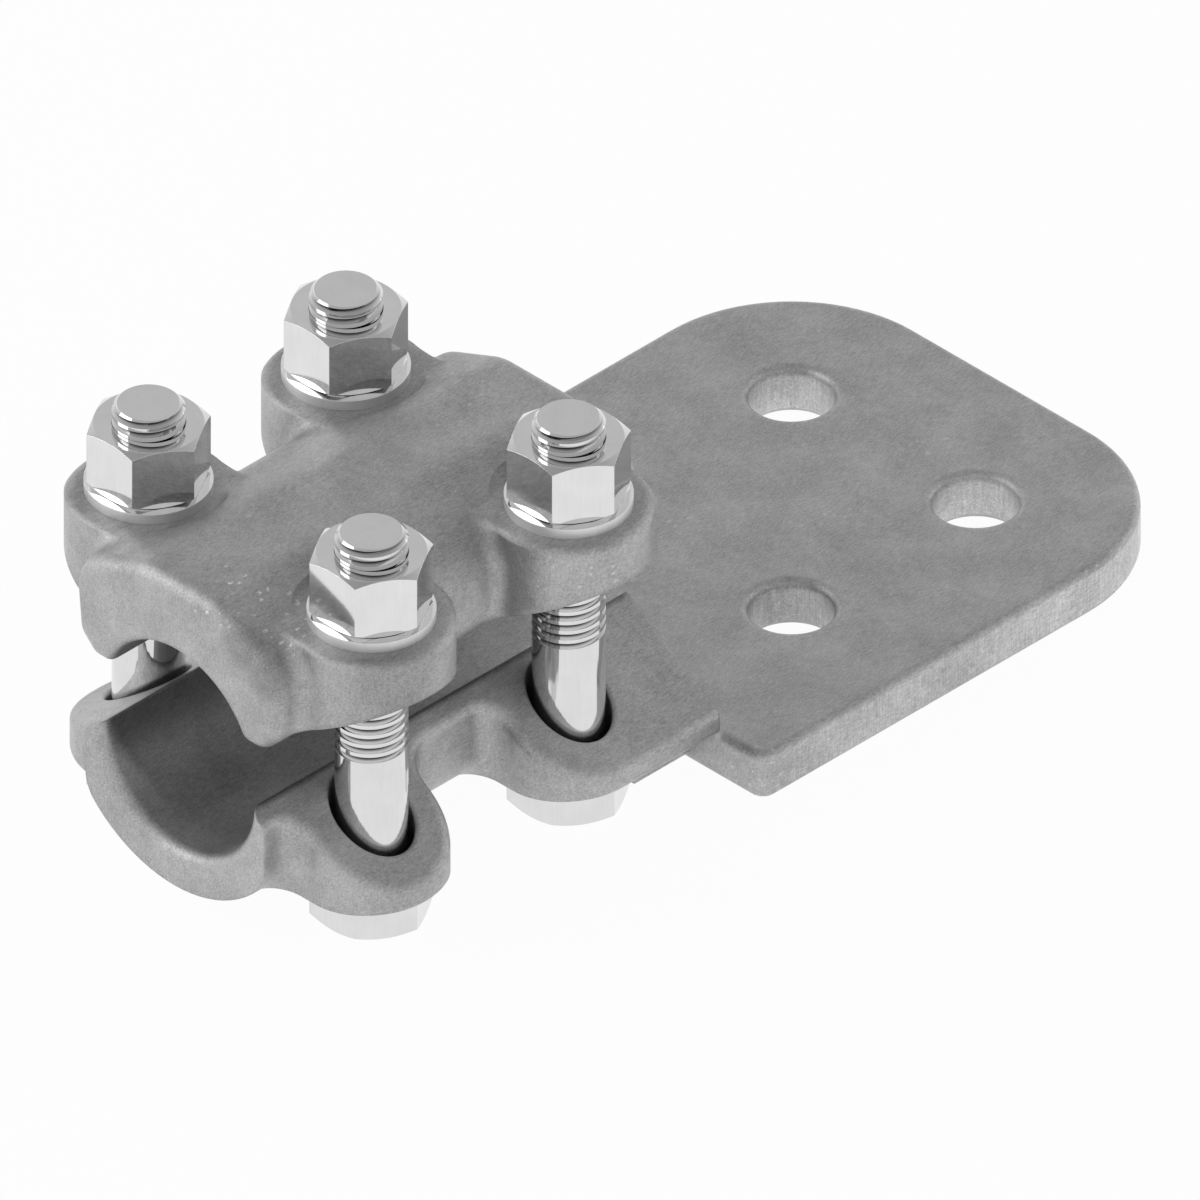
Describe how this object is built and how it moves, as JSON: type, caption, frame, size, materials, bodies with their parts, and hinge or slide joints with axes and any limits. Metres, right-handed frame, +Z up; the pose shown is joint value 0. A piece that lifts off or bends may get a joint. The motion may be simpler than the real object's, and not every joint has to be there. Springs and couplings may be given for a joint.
{
  "type": "bolted terminal connector",
  "caption": "Bolted clamp terminal: a cast trough and keeper close on a round conductor by hex bolts; the trough ends in a flat pad with a rectangular bolt pattern.",
  "frame": {"origin": "middle of the pad's four-hole pattern, on the pad's top face", "axes": "+X along the conductor, from the clamp's open end towards the pad's far edge; +Y across, to the left; +Z up, out of the pad's top face"},
  "size_m": [0.1998, 0.1016, 0.0804],
  "materials": {
    "casting": "matte as-cast",
    "bolt_steel": "bright plated",
    "washer_steel": "bright plated",
    "nut_steel": "bright plated"
  },
  "bodies": {
    "base": {"terminal_body": "casting", "bolt_front_left": "bolt_steel", "bolt_front_right": "bolt_steel", "bolt_rear_left": "bolt_steel", "bolt_rear_right": "bolt_steel"},
    "clamp_keeper": {"keeper": "casting", "spring_washer_front_left": "washer_steel", "spring_washer_front_right": "washer_steel", "spring_washer_rear_left": "washer_steel", "spring_washer_rear_right": "washer_steel"},
    "nut_body_front_left": {"nut_front_left": "nut_steel"},
    "nut_body_front_right": {"nut_front_right": "nut_steel"},
    "nut_body_rear_left": {"nut_rear_left": "nut_steel"},
    "nut_body_rear_right": {"nut_rear_right": "nut_steel"}
  },
  "joints": [
    {"name": "keeper_slide", "type": "slide", "parent": "base", "child": "clamp_keeper", "axis": [0, 0, 1], "range_m": [-0.012, 0.0038]},
    {"name": "nut_spin_front_left", "type": "hinge", "parent": "clamp_keeper", "child": "nut_body_front_left", "pos_m": [-0.12831, 0.0269, 0.0615], "axis": [0, 0, 1], "range_deg": [-2212, 701.2]},
    {"name": "nut_spin_front_right", "type": "hinge", "parent": "clamp_keeper", "child": "nut_body_front_right", "pos_m": [-0.12831, -0.0269, 0.0615], "axis": [0, 0, 1], "range_deg": [-2212, 701.2]},
    {"name": "nut_spin_rear_left", "type": "hinge", "parent": "clamp_keeper", "child": "nut_body_rear_left", "pos_m": [-0.08069, 0.0269, 0.0615], "axis": [0, 0, 1], "range_deg": [-2212, 701.2]},
    {"name": "nut_spin_rear_right", "type": "hinge", "parent": "clamp_keeper", "child": "nut_body_rear_right", "pos_m": [-0.08069, -0.0269, 0.0615], "axis": [0, 0, 1], "range_deg": [-2212, 701.2]}
  ],
  "couplings": [
    {"joint": "nut_spin_front_left", "follows": "keeper_slide", "rad_per_m": 3215.8},
    {"joint": "nut_spin_front_right", "follows": "keeper_slide", "rad_per_m": 3215.8},
    {"joint": "nut_spin_rear_left", "follows": "keeper_slide", "rad_per_m": 3215.8},
    {"joint": "nut_spin_rear_right", "follows": "keeper_slide", "rad_per_m": 3215.8}
  ]
}
